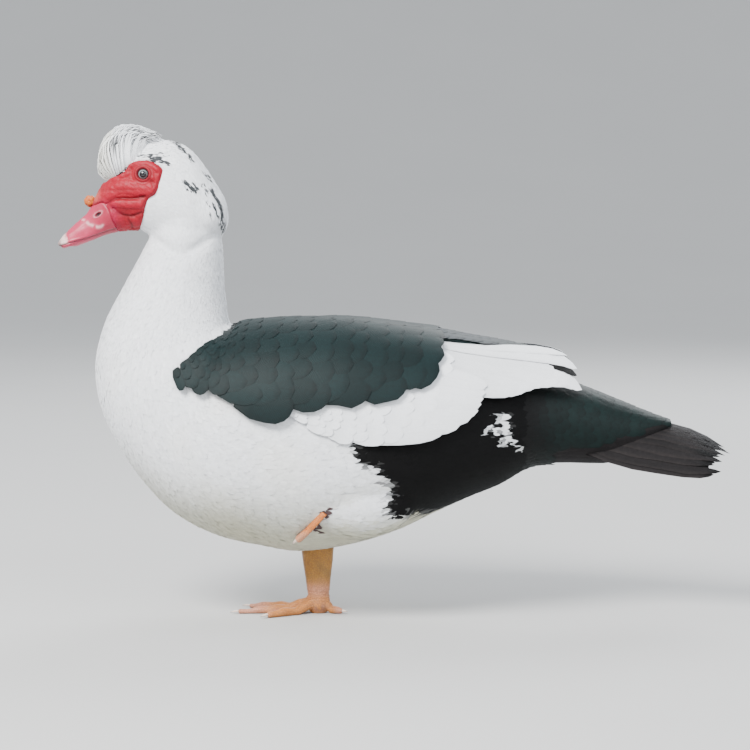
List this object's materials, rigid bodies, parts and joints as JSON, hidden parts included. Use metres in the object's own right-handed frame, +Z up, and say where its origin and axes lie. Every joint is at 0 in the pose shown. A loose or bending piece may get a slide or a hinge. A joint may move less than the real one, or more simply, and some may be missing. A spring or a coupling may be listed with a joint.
{
  "type": "muscovy duck, male, standing on one leg",
  "caption": "Life-size still model of a pied male muscovy duck standing on one leg, the other foot drawn up into its belly feathers.",
  "frame": {"origin": "on the floor, below the middle of the bounding box", "axes": "+X towards the tail, with the head at -X; -Y is the bird's left side; +Z up"},
  "size_m": [0.6976, 0.2314, 0.5095],
  "materials": {
    "body_feathers": "soft white contour feathers, cream on the belly, with a few black flecks on the crown and nape",
    "rump_feathers": "soft black contour feathers",
    "wing_feathers": "smooth white flight feathers and coverts",
    "mantle_feathers": "dark scalloped feathers with a green to blue gloss",
    "tail_feathers": "charcoal tail feathers with dark ragged tips, green-black coverts",
    "face_skin": "bare crimson skin with dark creases and small warty beads",
    "bill": "smooth pink horn with a pale nail that is dark at its tip",
    "knob": "small orange caruncle at the root of the bill",
    "eye": "wet pale grey iris with a dark pupil",
    "leg_skin": "scaly ochre-orange skin, pinker at the toes, with dark webs",
    "claw": "pale horn"
  },
  "bodies": {
    "root": {"torso": "body_feathers", "neck": "body_feathers", "head": "body_feathers", "rump": "rump_feathers", "wing_left": "wing_feathers", "wing_right": "wing_feathers", "mantle_left": "mantle_feathers", "mantle_right": "mantle_feathers", "tail": "tail_feathers", "face": "face_skin", "bill_upper": "bill", "bill_lower": "bill", "bill_knob": "knob", "eye_left": "eye", "eye_right": "eye", "leg_right": "leg_skin", "foot_right": "leg_skin", "leg_left": "leg_skin", "foot_left": "leg_skin", "claw_right_inner": "claw", "claw_right_middle": "claw", "claw_right_outer": "claw", "claw_right_hind": "claw", "claw_left_inner": "claw", "claw_left_middle": "claw", "claw_left_outer": "claw"}
  },
  "joints": []
}
